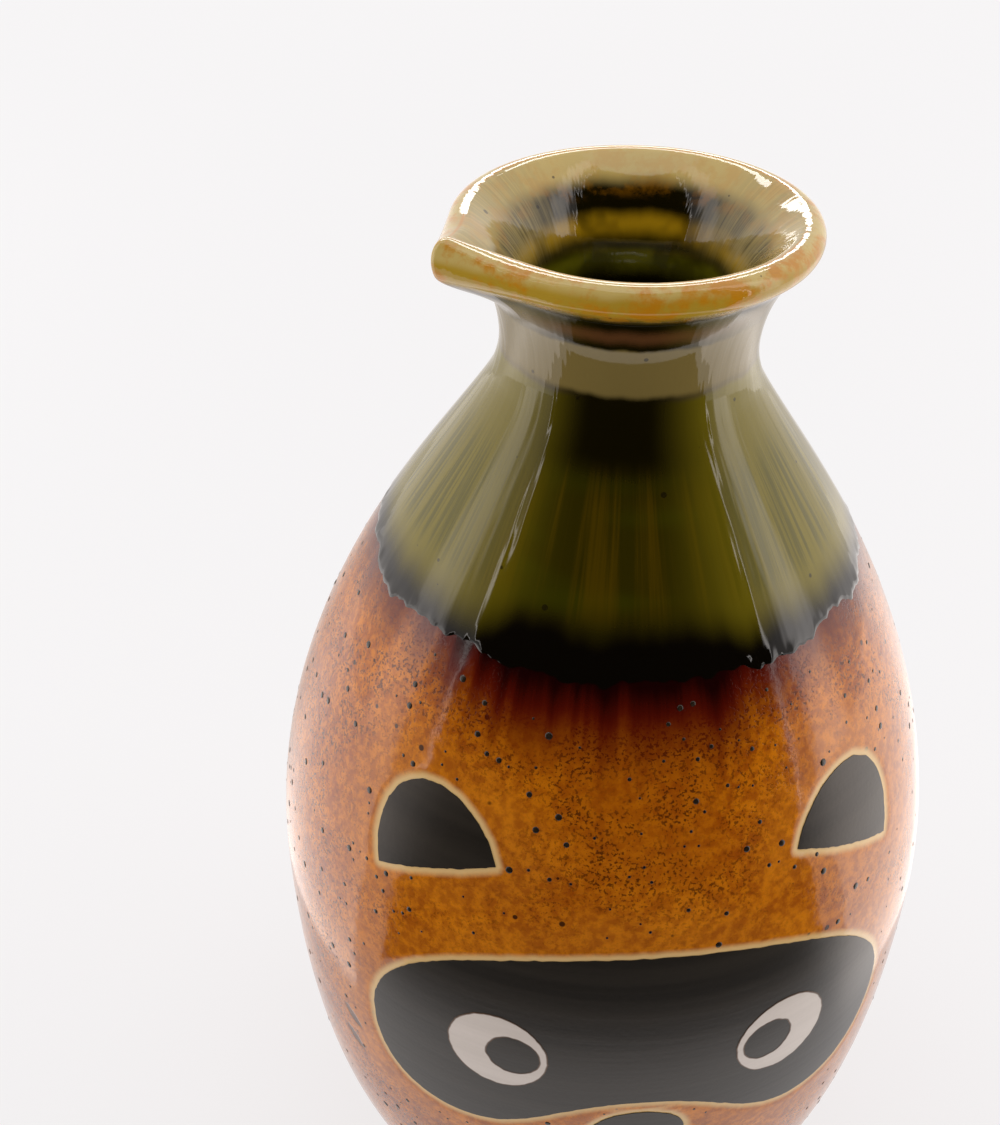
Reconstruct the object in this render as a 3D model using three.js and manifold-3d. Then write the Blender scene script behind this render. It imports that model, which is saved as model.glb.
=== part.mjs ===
// A stoneware sake bottle with a pinched pouring lip and an animal's face in black and white slip.
// One clay body carries all the fired coats: each glaze and each slip patch is a thin shell on it.
// Millimetres, +Z up. The origin is the centre of the foot, the face looks to -Y.
import * as THREE from "three";
import { mergeVertices } from "three/addons/utils/BufferGeometryUtils.js";
import Module from "manifold-3d";

const wasm = await Module();
wasm.setup();

// ---- Driving dimensions ----

// Outside form, measured over the glaze.
const height = 147; // foot to the crest of the lip
const bellyRadius = 42.5;
const bellyHeight = 59.5; // level of the widest ring
const roundBelow = 36.5; // how far the belly stays full below its widest ring
const roundAbove = 39.7; // and above it
const neckRadius = 13.9;
const neckDrop = 15.5; // crest of the lip down to the narrowest ring
const neckRound = 6.7; // how far the neck stays slim below its narrowest ring
const footRadius = 29;
const footLean = 5.6; // the wall leaves the foot this far outwards
const footRise = 9.8; // for this much rise

// Rolled lip.
const lipRadius = 19.4;
const lipThickness = 3.4;
const lipOuterTurn = -54; // degrees round the roll, from the outermost point, to where the flare meets it
const lipInnerTurn = 126; // and to where the bell starts
const flareStraight = 4; // the neck stays straight this far above its narrowest ring
const flareFall = 4.5; // how far the flare keeps the roll's slope before it turns down the neck
const bellFall = 3.6; // how far the bell keeps the roll's slope before it turns down the throat
const throatRise = 9; // straight part of the throat above the narrowest ring

// Pouring spout, pinched out of the lip.
const spoutTurn = 67.5; // degrees from the face, towards -X
const spoutReach = 3.8; // how far the tip stands past the round lip
const spoutDip = 0.2; // how far the channel sinks below the crest at the tip
const channelSharpness = 3; // a higher power makes a narrower channel
const cornerRise = 5; // the spout's outer corner starts this far below the roll
const channelFall = 2; // the spout's channel ends this far above the narrowest ring

// Walls, coats and foot.
const wall = 4.4; // glaze to glaze, through the clay
const glazeThickness = 0.4;
const bond = 0.3; // clearance between a coat and the clay, and between two coats
const floorLevel = 8.6; // inside floor, over the glaze
const floorRadius = 15; // its flat part
const bowlFullness = 5; // how much longer the inside stays full than the outside
const glazeStop = 4; // bare clay from the foot up to here
const bareStep = 0.3; // the bare clay stands this far inside the glaze's surface
const footChamfer = 0.8;
const footRingWidth = 5;
const footRecess = 1.8;

// Where the coats meet.
const greenDrop = 39; // crest of the lip down to the green glaze's edge outside
const throatGreenDrop = 24; // and inside

// The face, in millimetres along the surface. The face line is the level of the eyes.
const faceDrop = 47; // green glaze's edge down to the face line
const maskHalfWidth = 34.8;
const maskRise = 17;
const maskLobeDrop = 15.4;
const maskLobeOut = 23;
const maskArchDrop = 7;
const maskArchOut = 10.1; // how far the arch over the nose stays level
const maskLobeRound = 9.7; // how far each lobe's bottom stays level on its inner side
const maskCheekOut = 30; // and on its outer side, which ends here
const maskCheekRise = 8; // how far the mask's end stays upright below its widest level
const maskTempleRise = 12.5; // and above it
const maskBrowOut = 18.1; // how far the top stays level
const maskEndDrop = 3.5; // the mask is widest this far below the face line
const eyeOut = 17.3;
const eyeRadius = 6.2;
const pupilOut = 15.3;
const pupilRadius = 3.15;
const earOut = 25.1;
const earRise = 23; // face line up to the middle of the ear's straight edge
const earHalfWidth = 8.5;
const earDepth = 9;
const earLean = 0.17; // the ear's dome leans inwards by this share of its depth
const earTilt = 21; // degrees, the outer end lower
const noseDrop = 13.5;
const noseHalfWidth = 5.7;
const noseHalfHeight = 4.3;

// Facets.
const turnSegments = 32; // a multiple of 16, so that a facet edge runs down the spout's tip
const faceSegments = 24; // round each patch

// ---- The bottle's surface line, from the glaze's lower edge over the lip to the inside floor ----

const at = (radius, level) => new THREE.Vector2(radius, level);
const radians = THREE.MathUtils.degToRad;
const smoothstep = THREE.MathUtils.smoothstep;

const neckHeight = height - neckDrop;
const rollRadius = lipThickness / 2;
const rimRadius = lipRadius - rollRadius;
const throatRadius = neckRadius - wall;
const greenLine = height - greenDrop;
const throatGreenLine = height - throatGreenDrop;
const faceLine = greenLine - faceDrop;
const coat = glazeThickness + bond;

// A line moved sideways by a distance, to the left of its own direction. A closed one has no ends.
function parallel(line, distance, closed = false) {
  const last = line.length - 1;
  return line.map((point, i) => {
    const before = line[i > 0 ? i - 1 : closed ? last : 0];
    const after = line[i < last ? i + 1 : closed ? 0 : last];
    const arriving = point.clone().sub(before).normalize();
    const leaving = after.clone().sub(point).normalize();
    const along = arriving.clone().add(leaving).normalize();
    const mitre = Math.max(along.dot(arriving), along.dot(leaving));
    const side = at(-along.y, along.x);
    return point.clone().addScaledVector(side, distance / mitre);
  });
}

// The same line with extra points where it passes the given levels.
function cutAtLevels(line, levels) {
  const points = [line[0]];
  for (let i = 1; i < line.length; i++) {
    const [from, to] = [line[i - 1], line[i]];
    const passed = levels
      .map((level) => (level - from.y) / (to.y - from.y))
      .filter((share) => share > 0 && share < 1)
      .sort((a, b) => a - b);
    points.push(...passed.map((share) => from.clone().lerp(to, share)), to);
  }
  return points;
}

const lowerWall = new THREE.CubicBezierCurve(
  at(footRadius, 0),
  at(footRadius + footLean, footRise),
  at(bellyRadius, bellyHeight - roundBelow),
  at(bellyRadius, bellyHeight),
).getPoints(6);

const upperWall = new THREE.CubicBezierCurve(
  at(bellyRadius, bellyHeight),
  at(bellyRadius, bellyHeight + roundAbove),
  at(neckRadius, neckHeight - neckRound),
  at(neckRadius, neckHeight),
).getPoints(9);

const roll = new THREE.EllipseCurve(
  rimRadius,
  height - rollRadius,
  rollRadius,
  rollRadius,
  radians(lipOuterTurn),
  radians(lipInnerTurn),
).getPoints(5);

const rollStart = roll[0];
const rollEnd = roll.at(-1);
const rollSlope = (turn) => at(-Math.sin(radians(turn)), Math.cos(radians(turn)));

const flare = new THREE.CubicBezierCurve(
  at(neckRadius, neckHeight),
  at(neckRadius, neckHeight + flareStraight),
  rollStart.clone().addScaledVector(rollSlope(lipOuterTurn), -flareFall),
  rollStart,
).getPoints(6);

const bell = new THREE.CubicBezierCurve(
  rollEnd,
  rollEnd.clone().addScaledVector(rollSlope(lipInnerTurn), bellFall),
  at(throatRadius, neckHeight + throatRise),
  at(throatRadius, neckHeight),
).getPoints(6);

const innerUpperWall = parallel(upperWall, wall).reverse();
const bowl = new THREE.CubicBezierCurve(
  innerUpperWall.at(-1),
  at(bellyRadius - wall, bellyHeight - roundBelow - bowlFullness),
  at(floorRadius * 2, floorLevel),
  at(floorRadius, floorLevel),
).getPoints(6);

const outerWall = cutAtLevels(
  [...lowerWall, ...upperWall.slice(1)],
  [glazeStop, greenLine - bond / 2, greenLine + bond / 2],
);
const innerWall = cutAtLevels(
  [...innerUpperWall, ...bowl.slice(1), at(0, floorLevel)],
  [throatGreenLine - bond / 2, throatGreenLine + bond / 2],
);

// The radius over the glaze at a level of the outside wall.
function outerRadius(level) {
  const i = outerWall.findIndex((point) => point.y > level);
  const [low, high] = [outerWall[i - 1], outerWall[i]];
  return THREE.MathUtils.mapLinear(level, low.y, high.y, low.x, high.x);
}

// Each station of the line says how much it follows the spout's outer corner and its inner channel.
const outerShare = (point) => smoothstep(point.y, rollStart.y - cornerRise, rollStart.y);
const innerShare = (point) => smoothstep(point.y, neckHeight + channelFall, rollEnd.y);
const acrossRoll = (point) => smoothstep(point.x, rollEnd.x, rimRadius + rollRadius / 2);

const skin = [
  ...outerWall.filter((point) => point.y >= glazeStop).map((point) => ({ point, outer: 0, inner: 0 })),
  ...flare.slice(1).map((point) => ({ point, outer: outerShare(point), inner: 0 })),
  ...roll.slice(1).map((point) => ({
    point,
    outer: acrossRoll(point),
    inner: 1 - acrossRoll(point),
  })),
  ...bell.slice(1).map((point) => ({ point, outer: 0, inner: innerShare(point) })),
  ...innerWall.slice(1).map((point) => ({ point, outer: 0, inner: 0 })),
].map((station, rank) => ({ ...station, rank }));

const moved = (distance) => {
  const points = parallel(skin.map((station) => station.point), distance);
  return skin.map((station, i) => ({ ...station, point: points[i] }));
};
const glazeBack = moved(glazeThickness);
const claySurface = moved(coat);

// ---- Turned solids ----

// How far the spout pushes the lip out, for an angle away from the tip. Outside it is a corner
// whose two sides run straight off the round lip, inside it is a narrow channel.
const spoutHalfAngle = Math.acos(lipRadius / (lipRadius + spoutReach));
function spoutPush(angle) {
  const away = Math.min(Math.abs(angle), spoutHalfAngle);
  const closeness = (1 - away / spoutHalfAngle) ** channelSharpness;
  return {
    outer: lipRadius / Math.cos(spoutHalfAngle - away) - lipRadius,
    inner: spoutReach * closeness,
    dip: spoutDip * closeness,
  };
}

// Turns a closed line of stations about the bottle's axis, and pinches the spout into it. Two coats'
// faces, and the clay under them, split each quad along the same diagonal, so they never cross.
function turned(stations) {
  const rows = stations.length;
  const geometry = new THREE.LatheGeometry(stations.map(({ point }) => point), turnSegments);
  geometry.rotateX(Math.PI / 2);
  const position = geometry.getAttribute("position");
  for (let i = 0; i < position.count; i++) {
    const { outer, inner } = stations[i % rows];
    const azimuth = Math.atan2(position.getX(i), -position.getY(i));
    const push = spoutPush(azimuth + radians(spoutTurn));
    const radius = Math.hypot(position.getX(i), position.getY(i));
    const scale = radius > 0 ? 1 + (outer * push.outer + inner * push.inner) / radius : 1;
    const lowered = position.getZ(i) - (outer + inner) * push.dip;
    position.setXYZ(i, position.getX(i) * scale, position.getY(i) * scale, lowered);
  }
  const triangles = [];
  for (let turn = 0; turn < turnSegments; turn++) {
    for (let row = 0; row < rows - 1; row++) {
      const [here, above] = [turn * rows + row, turn * rows + row + 1];
      const [next, nextAbove] = [here + rows, above + rows];
      if (stations[row].rank < stations[row + 1].rank) {
        triangles.push(here, next, above, nextAbove, above, next);
      } else {
        triangles.push(here, next, nextAbove, here, nextAbove, above);
      }
    }
  }
  geometry.setIndex(triangles);
  return merged(geometry);
}

function merged(geometry) {
  geometry.deleteAttribute("normal");
  geometry.deleteAttribute("uv");
  return mergeVertices(geometry);
}

// A coat between two stations of the line, as a closed shell.
function coatBetween(first, last) {
  const front = skin.slice(first, last + 1);
  const back = glazeBack.slice(first, last + 1).reverse();
  const endsOnAxis = skin[last].point.x === 0;
  return turned(endsOnAxis ? [...back, ...front] : [...front, ...back, front[0]]);
}

// The station at a level, outside or inside the lip.
const crest = skin.findIndex(({ point }) => point === rollEnd);
const stationAt = (level, inside) =>
  skin.findIndex(({ point }, i) => i > crest === inside && Math.abs(point.y - level) < bond / 4);

const amberTop = stationAt(greenLine - bond / 2, false);
const greenFoot = stationAt(greenLine + bond / 2, false);
const greenEnd = stationAt(throatGreenLine + bond / 2, true);
const liningTop = stationAt(throatGreenLine - bond / 2, true);

// ---- Clay body ----

const fixed = (point) => ({ point, outer: 0, inner: 0, rank: -1 });
const ringInner = footRadius - footRingWidth;
const bareTop = glazeStop - bond;
const stonewareBody = turned([
  fixed(at(0, footRecess)),
  fixed(at(ringInner - footRecess, footRecess)),
  fixed(at(ringInner, 0)),
  fixed(at(footRadius - footChamfer, 0)),
  fixed(at(outerRadius(footChamfer) - bareStep, footChamfer)),
  fixed(at(outerRadius(bareTop) - bareStep, bareTop)),
  ...claySurface,
]);

// ---- The face ----

// An outline along the surface, of distances sideways from the face's middle and levels, seen from the front.
function fromTheFront(outline) {
  return outline.map(({ x: sideways, y: level }) => {
    const radius = outerRadius(level);
    return at(radius * Math.sin(sideways / radius), level);
  });
}

function asSolid(geometry) {
  const triVerts = new Uint32Array(geometry.index.array);
  const vertProperties = new Float32Array(geometry.getAttribute("position").array);
  return new wasm.Manifold(new wasm.Mesh({ numProp: 3, vertProperties, triVerts }));
}

function asGeometry(solid) {
  const mesh = solid.getMesh();
  const geometry = new THREE.BufferGeometry();
  geometry.setAttribute("position", new THREE.BufferAttribute(mesh.vertProperties, 3));
  geometry.setIndex(new THREE.BufferAttribute(mesh.triVerts, 1));
  return geometry;
}

// A straight cutter through the front of the bottle, with the outline grown by a margin.
function cutter(outline, margin = 0) {
  const grown = parallel(fromTheFront(outline), -margin, true);
  const shape = new THREE.Shape(grown);
  const geometry = new THREE.ExtrudeGeometry(shape, {
    depth: bellyRadius + wall,
    bevelEnabled: false,
  });
  geometry.rotateX(Math.PI / 2);
  return asSolid(merged(geometry));
}

// Outlines run anticlockwise.
function oval(middle, level, halfWidth, halfHeight) {
  const curve = new THREE.EllipseCurve(middle, level, halfWidth, halfHeight, 0, 2 * Math.PI);
  return curve.getPoints(faceSegments).slice(1);
}

function ear(side) {
  const dome = new THREE.EllipseCurve(0, 0, earHalfWidth, earDepth, 0, Math.PI);
  const middle = at(0, 0);
  return dome
    .getPoints(faceSegments)
    .map(({ x, y }) => at(x - side * earLean * y, y))
    .map((point) => point.rotateAround(middle, -side * radians(earTilt)))
    .map((point) => point.add(at(side * earOut, faceLine + earRise)));
}

function maskOutline() {
  const side = faceLine - maskEndDrop;
  const lobe = faceLine - maskLobeDrop;
  const arch = faceLine - maskArchDrop;
  const top = faceLine + maskRise;
  const half = new THREE.CurvePath();
  half.add(
    new THREE.CubicBezierCurve(
      at(0, arch),
      at(maskArchOut, arch),
      at(maskLobeOut - maskLobeRound, lobe),
      at(maskLobeOut, lobe),
    ),
  );
  half.add(
    new THREE.CubicBezierCurve(
      at(maskLobeOut, lobe),
      at(maskCheekOut, lobe),
      at(maskHalfWidth, side - maskCheekRise),
      at(maskHalfWidth, side),
    ),
  );
  half.add(
    new THREE.CubicBezierCurve(
      at(maskHalfWidth, side),
      at(maskHalfWidth, side + maskTempleRise),
      at(maskBrowOut, top),
      at(0, top),
    ),
  );
  const right = half.getPoints(10);
  const left = right.slice(1, -1).map(({ x, y }) => at(-x, y));
  return [...right, ...left.reverse()];
}

const leftSide = -1;
const rightSide = 1;
const eyeOutline = (side) => oval(side * eyeOut, faceLine, eyeRadius, eyeRadius);
const pupilOutline = (side) => oval(side * pupilOut, faceLine, pupilRadius, pupilRadius);
const noseOutline = oval(0, faceLine - noseDrop, noseHalfWidth, noseHalfHeight);

const amberShell = asSolid(coatBetween(0, amberTop));
const patch = (outline) => amberShell.intersect(cutter(outline));
const without = (solid, outlines) =>
  outlines.reduce((rest, outline) => rest.subtract(cutter(outline, bond)), solid);

const eyeOutlines = [leftSide, rightSide].map(eyeOutline);
const patchOutlines = [maskOutline(), ear(leftSide), ear(rightSide), noseOutline];
const eyeWhite = (side) => without(patch(eyeOutline(side)), [pupilOutline(side)]);

// ---- The bottle ----

const bottle = new THREE.Group();

function add(name, geometry, color, roughness) {
  const material = new THREE.MeshStandardMaterial({ color, roughness, metalness: 0 });
  const mesh = new THREE.Mesh(geometry, material);
  mesh.name = name;
  bottle.add(mesh);
}

const clay = 0xa98668;
const amber = 0xa8661f;
const green = 0x4a4a10;
const black = 0x2c2724;
const white = 0xcfc6bd;

add("stoneware_body", stonewareBody, clay, 0.85);
add("amber_glaze", asGeometry(without(amberShell, patchOutlines)), amber, 0.15);
add("green_glaze", coatBetween(greenFoot, greenEnd), green, 0.08);
add("lining_glaze", coatBetween(liningTop, skin.length - 1), amber, 0.2);
add("black_mask", asGeometry(without(patch(maskOutline()), eyeOutlines)), black, 0.3);
add("black_nose", asGeometry(patch(noseOutline)), black, 0.3);
for (const [side, word] of [
  [leftSide, "left"],
  [rightSide, "right"],
]) {
  add(`black_ear_${word}`, asGeometry(patch(ear(side))), black, 0.3);
  add(`white_eye_${word}`, asGeometry(eyeWhite(side)), white, 0.3);
  add(`black_pupil_${word}`, asGeometry(patch(pupilOutline(side))), black, 0.3);
}

export default bottle;
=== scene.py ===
import math

import bmesh
import bpy
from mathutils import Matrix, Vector, noise


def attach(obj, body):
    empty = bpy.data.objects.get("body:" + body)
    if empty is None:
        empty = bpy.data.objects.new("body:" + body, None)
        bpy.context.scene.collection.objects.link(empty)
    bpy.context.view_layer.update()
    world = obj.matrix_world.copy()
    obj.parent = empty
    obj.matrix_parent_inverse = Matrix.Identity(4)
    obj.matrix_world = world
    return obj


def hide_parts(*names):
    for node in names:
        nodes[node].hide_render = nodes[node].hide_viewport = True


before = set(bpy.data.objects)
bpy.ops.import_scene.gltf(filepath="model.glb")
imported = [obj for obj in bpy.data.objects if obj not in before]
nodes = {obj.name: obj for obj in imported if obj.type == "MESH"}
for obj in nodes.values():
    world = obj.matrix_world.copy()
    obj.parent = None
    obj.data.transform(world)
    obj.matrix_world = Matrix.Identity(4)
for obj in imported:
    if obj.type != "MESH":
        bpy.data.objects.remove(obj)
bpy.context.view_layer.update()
print("loaded", len(nodes), "nodes")

mm = 0.001


# Node helpers, for geometry and shader trees alike

def treeOf(*values):
    # the node tree of the first socket among the values
    return next(value.id_data for value in values if isinstance(value, bpy.types.NodeSocket))


def plug(value, socket):
    if isinstance(value, bpy.types.NodeSocket):
        socket.id_data.links.new(value, socket)
    else:
        socket.default_value = value


def addNode(tree, kind, inputs=None, **settings):
    node = tree.nodes.new(kind)
    for name, value in settings.items():
        setattr(node, name, value)
    for key, value in (inputs or {}).items():
        plug(value, node.inputs[key])
    return node


def calc(operation, *values):
    node = addNode(treeOf(*values), "ShaderNodeMath", operation=operation)
    for socket, value in zip(node.inputs, values):
        plug(value, socket)
    return node.outputs[0]


def times(first, *others):
    for other in others:
        first = calc("MULTIPLY", first, other)
    return first


def plus(first, *others):
    for other in others:
        first = calc("ADD", first, other)
    return first


def minus(first, second):
    return calc("SUBTRACT", first, second)


def lengthOf(x, y):
    return calc("SQRT", plus(times(x, x), times(y, y)))


def ease(value, start, end, low=0.0, high=1.0, kind="SMOOTHSTEP"):
    # low before start, high after end, smooth between
    node = addNode(treeOf(value), "ShaderNodeMapRange", interpolation_type=kind)
    for socket, given in zip(node.inputs, (value, start, end, low, high)):
        plug(given, socket)
    return node.outputs[0]


def joinXyz(x, y, z):
    return addNode(treeOf(x, y, z), "ShaderNodeCombineXYZ", {0: x, 1: y, 2: z}).outputs[0]


def splitXyz(vector):
    return addNode(treeOf(vector), "ShaderNodeSeparateXYZ", {0: vector}).outputs


def grain(vector, scale, detail=2.0, roughness=0.5):
    inputs = {"Vector": vector, "Scale": scale, "Detail": detail, "Roughness": roughness}
    return addNode(treeOf(vector), "ShaderNodeTexNoise", inputs).outputs[0]


def blendColor(share, first, second):
    node = addNode(treeOf(share), "ShaderNodeMix", {0: share}, data_type="RGBA")
    for value, socket in ((first, node.inputs[6]), (second, node.inputs[7])):
        plug(value if isinstance(value, bpy.types.NodeSocket) else (*value, 1.0), socket)
    return node.outputs[2]


def colorRamp(value, look, stops):
    # stops are (value, name of a colour in look)
    low, high = stops[0][0], stops[-1][0]
    share = ease(value, low, high, kind="LINEAR")
    node = addNode(treeOf(value), "ShaderNodeValToRGB", {0: share})
    ramp = node.color_ramp
    ramp.interpolation = "EASE"
    while len(ramp.elements) < len(stops):
        ramp.elements.new(0.5)
    for element, (place, color) in zip(ramp.elements, stops):
        element.position = (place - low) / (high - low)
        element.color = (*look[color], 1.0)
    return node.outputs[0]


# The bottle's outline, in millimetres, from the foot over the lip to the inside floor

bottle = {
    "height": 147.0, "bellyRadius": 42.5, "bellyHeight": 59.5, "roundBelow": 36.5, "roundAbove": 39.7,
    "neckRadius": 13.9, "neckDrop": 15.5, "neckRound": 6.7, "flareStraight": 4.0, "flareFall": 4.5,
    "footRadius": 29.0, "footLean": 5.6, "footRise": 9.8,
    "lipRadius": 19.4, "lipThickness": 3.4, "lipOuterTurn": -54, "lipInnerTurn": 126, "crestBlend": 0.6,
    "bellFall": 3.6, "throatRise": 9.0,
    "spoutTurn": 67.5, "spoutReach": 3.8, "spoutDip": 0.2, "channelSharpness": 3.0,
    "cornerRise": 5.0, "channelFall": 2.0, "lean": (0.58, -0.04), "leanFrom": 70.0, "leanTo": 138.0,
    "bendReach": 3.0, "bendFade": (1.0, 7.0), "spoutRise": 1.3, "spoutRiseFrom": 143.4,
    "wall": 4.4, "coat": 0.4, "clayDepth": 0.7, "floorLevel": 8.6, "floorRadius": 15.0, "bowlFullness": 5.0,
    "glazeStop": 4.0, "bareStep": 0.3, "footChamfer": 0.8, "footRingWidth": 5.0, "footRecess": 1.8,
    "shadedFrontTurn": 9.85, "greenEdge": 108.0, "throatGreenEdge": 123.0, "waveReach": 12.0, "faceLine": 61.0,
}
# how many steps each stretch of the outline is drawn in
steps = {"lower": 112, "upper": 168, "flare": 34, "roll": 24, "bell": 26, "bowl": 60, "average": 6}
neckLevel = bottle["height"] - bottle["neckDrop"]
rollRadius = bottle["lipThickness"] / 2
rimRadius = bottle["lipRadius"] - rollRadius
spoutHalf = math.acos(bottle["lipRadius"] / (bottle["lipRadius"] + bottle["spoutReach"]))


def bezier(a, b, c, d, count):
    points = []
    for i in range(count + 1):
        t = i / count
        weights = (1 - t) ** 3, 3 * t * (1 - t) ** 2, 3 * t * t * (1 - t), t ** 3
        points.append(tuple(sum(w * p[k] for w, p in zip(weights, (a, b, c, d))) for k in range(2)))
    return points


def smoothShare(value, low, high):
    t = min(max((value - low) / (high - low), 0), 1)
    return t * t * (3 - 2 * t)


def parallel(line, distance):
    # moved to the left of its own direction
    moved = []
    for i, (r, z) in enumerate(line):
        (r0, z0), (r1, z1) = line[max(i - 1, 0)], line[min(i + 1, len(line) - 1)]
        size = math.hypot(r1 - r0, z1 - z0)
        moved.append((r - (z1 - z0) / size * distance, z + (r1 - r0) / size * distance))
    return moved


def rollPoint(turn):
    turn = math.radians(turn)
    return rimRadius + rollRadius * math.cos(turn), bottle["height"] + rollRadius * (math.sin(turn) - 1)


def alongRoll(turn, distance):
    # a point off the roll, along its slope
    r, z = rollPoint(turn)
    return r - math.sin(math.radians(turn)) * distance, z + math.cos(math.radians(turn)) * distance


def eased(line, whole):
    # the bend between shoulder and neck, drawn out by averaging the radius over nearby levels
    levels = [(z, r) for r, z in whole]
    count = steps["average"]
    moved = []
    for r, z in line:
        reach = bottle["bendReach"] * (1 - smoothShare(abs(z - neckLevel), *bottle["bendFade"]))
        near = [r]
        if reach > 0.01:
            near = [radiusIn(levels, z + reach * k / count) for k in range(-count, count + 1)]
        moved.append((sum(near) / len(near), z))
    return moved


def radiusIn(levels, level):
    for (z0, r0), (z1, r1) in zip(levels, levels[1:]):
        if z0 <= level <= z1 and z1 > z0:
            return r0 + (r1 - r0) * (level - z0) / (z1 - z0)
    return levels[-1][1]


def makeSkin():
    # stations of the surface line: radius, level, shares of the spout's corner and its channel, share inside
    b = bottle
    belly = (b["bellyRadius"], b["bellyHeight"])
    lower = bezier((b["footRadius"], 0), (b["footRadius"] + b["footLean"], b["footRise"]),
                   (b["bellyRadius"], b["bellyHeight"] - b["roundBelow"]), belly, steps["lower"])
    neck = (b["neckRadius"], neckLevel)
    upper = bezier(belly, (b["bellyRadius"], b["bellyHeight"] + b["roundAbove"]),
                   (b["neckRadius"], neckLevel - b["neckRound"]), neck, steps["upper"])
    start, end = rollPoint(b["lipOuterTurn"]), rollPoint(b["lipInnerTurn"])
    flare = bezier(upper[-1], (b["neckRadius"], neckLevel + b["flareStraight"]),
                   alongRoll(b["lipOuterTurn"], -b["flareFall"]), start, steps["flare"])
    sweep = (b["lipInnerTurn"] - b["lipOuterTurn"]) / steps["roll"]
    roll = [rollPoint(b["lipOuterTurn"] + sweep * i) for i in range(steps["roll"] + 1)]
    throat = b["neckRadius"] - b["wall"]
    bell = bezier(end, alongRoll(b["lipInnerTurn"], b["bellFall"]),
                  (throat, neckLevel + b["throatRise"]), (throat, neckLevel), steps["bell"])
    inner = parallel(upper, b["wall"])[::-1]
    bowlTop = b["bellyHeight"] - b["roundBelow"] - b["bowlFullness"]
    bowl = bezier(inner[-1], (b["bellyRadius"] - b["wall"], bowlTop),
                  (b["floorRadius"] * 2, b["floorLevel"]), (b["floorRadius"], b["floorLevel"]), steps["bowl"])
    whole = lower + upper + flare
    upper, flare = eased(upper, whole), eased(flare, whole)
    stations = [(r, z, 0, 0, 0) for r, z in lower + upper[1:]]
    stations += [(r, z, smoothShare(z, start[1] - b["cornerRise"], start[1]), 0, 0) for r, z in flare[1:]]
    for r, z in roll[1:]:
        across = smoothShare(r, end[0], rimRadius + rollRadius / 2) if z > start[1] else 1
        inside = smoothShare(rimRadius - r, -b["crestBlend"], b["crestBlend"])
        stations.append((r, z, across, 1 - across, inside))
    stations += [(r, z, 0, smoothShare(z, neckLevel + b["channelFall"], end[1]), 1) for r, z in bell[1:]]
    stations += [(r, z, 0, 0, 1) for r, z in inner[1:] + bowl[1:] + [(0, b["floorLevel"])]]
    return stations, len(lower) + len(upper) + len(flare) + len(roll) - 4


skin, crestIndex = makeSkin()
outsideLine = [(z, r) for r, z, *rest in skin[:steps["lower"] + steps["upper"] + 1]]


def outerRadius(level):
    return radiusIn(outsideLine, level)


def stationAt(level, inside):
    side = range(crestIndex, len(skin)) if inside else range(crestIndex)
    return min(side, key=lambda i: abs(skin[i][1] - level))


def shellBetween(first, last, depth, backStep=12, edge=()):
    # a coat as one loop of stations: its face, then its back, thinned out, and its first point again;
    # edge says how far the face stands over the line, by distance from the coat's lower edge
    line = [point[:2] for point in skin]
    over = []
    walked = 0.0
    for i in range(first, last + 1):
        if i > first:
            walked += math.dist(line[i], line[i - 1])
        lift = 0.0
        for (d0, l0), (d1, l1) in zip(edge, edge[1:]):
            if d0 <= walked < d1:
                lift = l0 + (l1 - l0) * (walked - d0) / (d1 - d0)
        before, after = line[max(i - 1, 0)], line[min(i + 1, len(line) - 1)]
        size = math.dist(before, after)
        slope = ((after[0] - before[0]) / size, (after[1] - before[1]) / size)
        wave = 1 - smoothShare(walked, 0.0, bottle["waveReach"]) if edge else 0.0
        bead = smoothShare(walked, 0.0, 0.5) * (1 - smoothShare(walked, 0.9, 2.2)) if edge else 0.0
        over.append((i, lift, slope, wave, bead))
    front, back = [], []
    for i, lift, slope, wave, bead in over:
        r, z, *shares = skin[i]
        front.append((r + slope[1] * lift, z - slope[0] * lift, *shares, wave, bead, *slope))
        back.append((max(r - slope[1] * depth, 0.0), z + slope[0] * depth, *shares, wave, 0.0, *slope))
    back = back[::-backStep] + ([back[0]] if (len(back) - 1) % backStep else [])
    if skin[last][0] == 0:
        return back[::-1] + front
    return front + back + [front[0]]


# Turning: one tree turns any loop of stations about the axis and pinches the spout into it

stationValues = ("cornerShare", "channelShare", "insideShare", "waveShare", "beadShare",
                 "slopeOut", "slopeUp")


def profileMesh(name, stations):
    mesh = bpy.data.meshes.new(name)
    vertices = [(station[0] * mm, 0, station[1] * mm) for station in stations]
    mesh.from_pydata(vertices, [(i, i + 1) for i in range(len(vertices) - 1)], [])
    for place, key in enumerate(stationValues, 2):
        numbers = [station[place] if len(station) > place else 0.0 for station in stations]
        mesh.attributes.new(key, "FLOAT", "POINT").data.foreach_set("value", numbers)
    return bpy.data.objects.new(name, mesh)


def openTree(name, output, *inputs):
    # a new tree with its inputs, as (name, kind, value), and one geometry output
    tree = bpy.data.node_groups.new(name, "GeometryNodeTree")
    for title, kind, *value in inputs:
        socket = tree.interface.new_socket(title, in_out="INPUT", socket_type="NodeSocket" + kind)
        if value:
            socket.default_value = value[0]
    tree.interface.new_socket(output, in_out="OUTPUT", socket_type="NodeSocketGeometry")
    return tree, tree.nodes.new("NodeGroupInput").outputs


def namedField(tree, name):
    return addNode(tree, "GeometryNodeInputNamedAttribute", {0: name}, data_type="FLOAT").outputs[0]


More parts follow.
